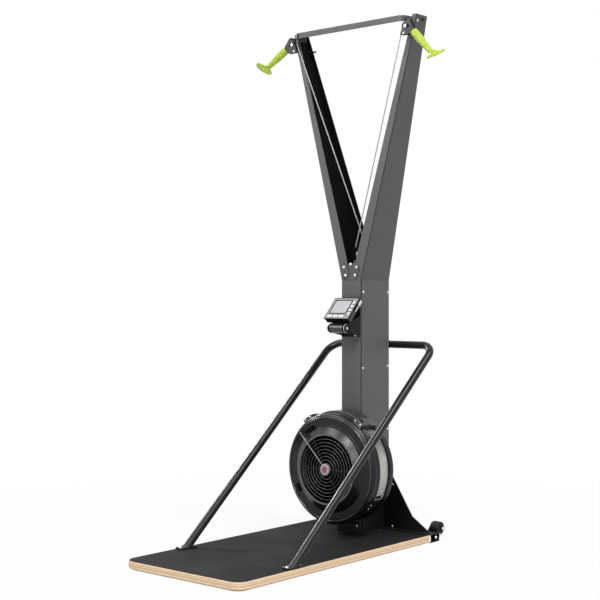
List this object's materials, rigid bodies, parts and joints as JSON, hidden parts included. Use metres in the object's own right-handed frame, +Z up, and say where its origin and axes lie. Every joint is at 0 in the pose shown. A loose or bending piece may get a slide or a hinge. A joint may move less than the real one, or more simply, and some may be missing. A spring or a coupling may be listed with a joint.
{
  "type": "ski trainer machine",
  "caption": "Standing ski trainer: tall steel mast with V arms, air-brake fan, spring-returned pull handles, tilting monitor, bent support tube and plywood deck on transport wheels.",
  "frame": {"origin": "on the floor under the deck, midway between the deck's front edge and the wheels' back, on the middle plane", "axes": "+X to the user's right, +Y from the user to the mast, +Z up"},
  "size_m": [1.0009, 1.2834, 2.1733],
  "materials": {
    "badge": "plain red cap",
    "blackPlastic": "black moulded plastic",
    "blackSteel": "black powder coat",
    "cord": "light grey braided cord",
    "greyPlastic": "grey moulded plastic",
    "key": "white key",
    "laminate": "black textured laminate",
    "lime": "lime green grip",
    "meshMetal": "light metal mesh",
    "plywood": "birch plywood edge",
    "powder": "dark grey powder coat",
    "rubber": "black rubber",
    "screen": "grey display",
    "steel": "bright steel"
  },
  "bodies": {
    "frame": {"deck_underlay": "rubber", "deck_board": "plywood", "deck_mat": "laminate", "rear_rail": "blackSteel", "gusset_right": "blackSteel", "gusset_left": "blackSteel", "mast_frame": "powder", "mast_front_cover": "powder", "mast_rear_cover": "powder", "arm_right": "powder", "arm_left": "powder", "yoke_plate": "powder", "crossbar": "powder", "pulley_block_left": "blackSteel", "pulley_block_right": "blackSteel", "drive_cord_left": "cord", "drive_cord_right": "cord", "guide_bracket": "steel", "front_bearing": "steel", "rear_bearing": "steel", "recoil_cartridge_left": "blackPlastic", "recoil_cartridge_right": "blackPlastic", "fan_front_cover": "blackPlastic", "fan_grille": "blackPlastic", "badge_cap": "badge", "fan_drum": "blackPlastic", "mesh_band_right": "meshMetal", "mesh_band_left": "meshMetal", "fan_rear_cover": "blackPlastic", "mast_foot": "blackSteel", "support_tube": "blackSteel", "tube_clamp": "blackSteel", "wheel_bracket_right": "blackSteel", "wheel_bracket_left": "blackSteel", "monitor_bracket": "blackSteel"},
    "handle_right": {"handle_grip_right": "lime", "handle_cord_right": "cord"},
    "handle_left": {"handle_grip_left": "lime", "handle_cord_left": "cord"},
    "top_pulley_right": {"top_pulley_right": "blackPlastic"},
    "top_pulley_left": {"top_pulley_left": "blackPlastic"},
    "guide_pulley_right": {"guide_pulley_right": "blackPlastic"},
    "guide_pulley_left": {"guide_pulley_left": "blackPlastic"},
    "cord_spool_right": {"cord_spool_right": "greyPlastic"},
    "cord_spool_left": {"cord_spool_left": "greyPlastic"},
    "flywheel": {"drive_shaft": "steel", "impeller": "blackPlastic"},
    "damper": {"damper_lever": "blackPlastic"},
    "monitor": {"tilt_barrel": "blackPlastic", "monitor_case": "blackPlastic", "monitor_screen": "screen"},
    "wheel_right": {"transport_wheel_right": "rubber"},
    "wheel_left": {"transport_wheel_left": "rubber"},
    "monitor_key_1": {"monitor_key_1": "key"},
    "monitor_key_2": {"monitor_key_2": "key"},
    "monitor_key_3": {"monitor_key_3": "key"},
    "monitor_key_4": {"monitor_key_4": "key"},
    "monitor_key_5": {"monitor_key_5": "key"},
    "monitor_key_6": {"monitor_key_6": "key"},
    "monitor_key_7": {"monitor_key_7": "key"}
  },
  "joints": [
    {"name": "handle_pull_right", "type": "slide", "parent": "frame", "child": "handle_right", "axis": [0.6691, 0, -0.7431], "range_m": [0, 1.1], "stiffness_N_per_m": 12, "springref_m": -1.2},
    {"name": "handle_pull_left", "type": "slide", "parent": "frame", "child": "handle_left", "axis": [-0.8572, 0, -0.515], "range_m": [0, 1.1], "stiffness_N_per_m": 12, "springref_m": -1.2},
    {"name": "top_pulley_spin_right", "type": "hinge", "parent": "frame", "child": "top_pulley_right", "pos_m": [0.303, 0.34235, 2.1183], "axis": [0, 1, 0], "range_deg": [0, 3300]},
    {"name": "guide_pulley_spin_right", "type": "hinge", "parent": "frame", "child": "guide_pulley_right", "pos_m": [0, 0.42435, 1.205], "axis": [0, 1, 0], "range_deg": [0, 2100]},
    {"name": "cord_spool_spin_right", "type": "hinge", "parent": "frame", "child": "cord_spool_right", "pos_m": [0, 0.42435, 0.313], "axis": [0, 1, 0], "range_deg": [0, 2100]},
    {"name": "top_pulley_spin_left", "type": "hinge", "parent": "frame", "child": "top_pulley_left", "pos_m": [-0.303, 0.34235, 2.1183], "axis": [0, 1, 0], "range_deg": [-3300, 0]},
    {"name": "guide_pulley_spin_left", "type": "hinge", "parent": "frame", "child": "guide_pulley_left", "pos_m": [0, 0.44435, 1.205], "axis": [0, 1, 0], "range_deg": [-2100, 0]},
    {"name": "cord_spool_spin_left", "type": "hinge", "parent": "frame", "child": "cord_spool_left", "pos_m": [0, 0.44435, 0.313], "axis": [0, 1, 0], "range_deg": [-2100, 0]},
    {"name": "flywheel_spin", "type": "hinge", "parent": "frame", "child": "flywheel", "pos_m": [0, 0.28335, 0.313], "axis": [0, 1, 0], "continuous": true},
    {"name": "damper_turn", "type": "hinge", "parent": "frame", "child": "damper", "pos_m": [0, 0.19335, 0.313], "axis": [0, 1, 0], "range_deg": [-40, 40]},
    {"name": "monitor_tilt", "type": "hinge", "parent": "frame", "child": "monitor", "pos_m": [0, 0.27335, 0.893], "axis": [1, 0, 0], "range_deg": [-1.5, 40]},
    {"name": "wheel_spin_right", "type": "hinge", "parent": "frame", "child": "wheel_right", "pos_m": [0.265, 0.61465, 0.047], "axis": [1, 0, 0], "continuous": true},
    {"name": "wheel_spin_left", "type": "hinge", "parent": "frame", "child": "wheel_left", "pos_m": [-0.265, 0.61465, 0.047], "axis": [1, 0, 0], "continuous": true},
    {"name": "key_press_1", "type": "slide", "parent": "monitor", "child": "monitor_key_1", "axis": [0, 0.7361, -0.6769], "range_m": [0, 0.001], "stiffness_N_per_m": 500},
    {"name": "key_press_2", "type": "slide", "parent": "monitor", "child": "monitor_key_2", "axis": [0, 0.7361, -0.6769], "range_m": [0, 0.001], "stiffness_N_per_m": 500},
    {"name": "key_press_3", "type": "slide", "parent": "monitor", "child": "monitor_key_3", "axis": [0, 0.7361, -0.6769], "range_m": [0, 0.001], "stiffness_N_per_m": 500},
    {"name": "key_press_4", "type": "slide", "parent": "monitor", "child": "monitor_key_4", "axis": [0, 0.7361, -0.6769], "range_m": [0, 0.001], "stiffness_N_per_m": 500},
    {"name": "key_press_5", "type": "slide", "parent": "monitor", "child": "monitor_key_5", "axis": [0, 0.7361, -0.6769], "range_m": [0, 0.001], "stiffness_N_per_m": 500},
    {"name": "key_press_6", "type": "slide", "parent": "monitor", "child": "monitor_key_6", "axis": [0, 0.7361, -0.6769], "range_m": [0, 0.001], "stiffness_N_per_m": 500},
    {"name": "key_press_7", "type": "slide", "parent": "monitor", "child": "monitor_key_7", "axis": [0, 0.7361, -0.6769], "range_m": [0, 0.001], "stiffness_N_per_m": 500}
  ],
  "couplings": [
    {"joint": "top_pulley_spin_right", "follows": "handle_pull_right", "rad_per_m": 51.813},
    {"joint": "guide_pulley_spin_right", "follows": "handle_pull_right", "rad_per_m": 33.003},
    {"joint": "cord_spool_spin_right", "follows": "handle_pull_right", "rad_per_m": 33.003},
    {"joint": "top_pulley_spin_left", "follows": "handle_pull_left", "rad_per_m": -51.813},
    {"joint": "guide_pulley_spin_left", "follows": "handle_pull_left", "rad_per_m": -33.003},
    {"joint": "cord_spool_spin_left", "follows": "handle_pull_left", "rad_per_m": -33.003}
  ]
}
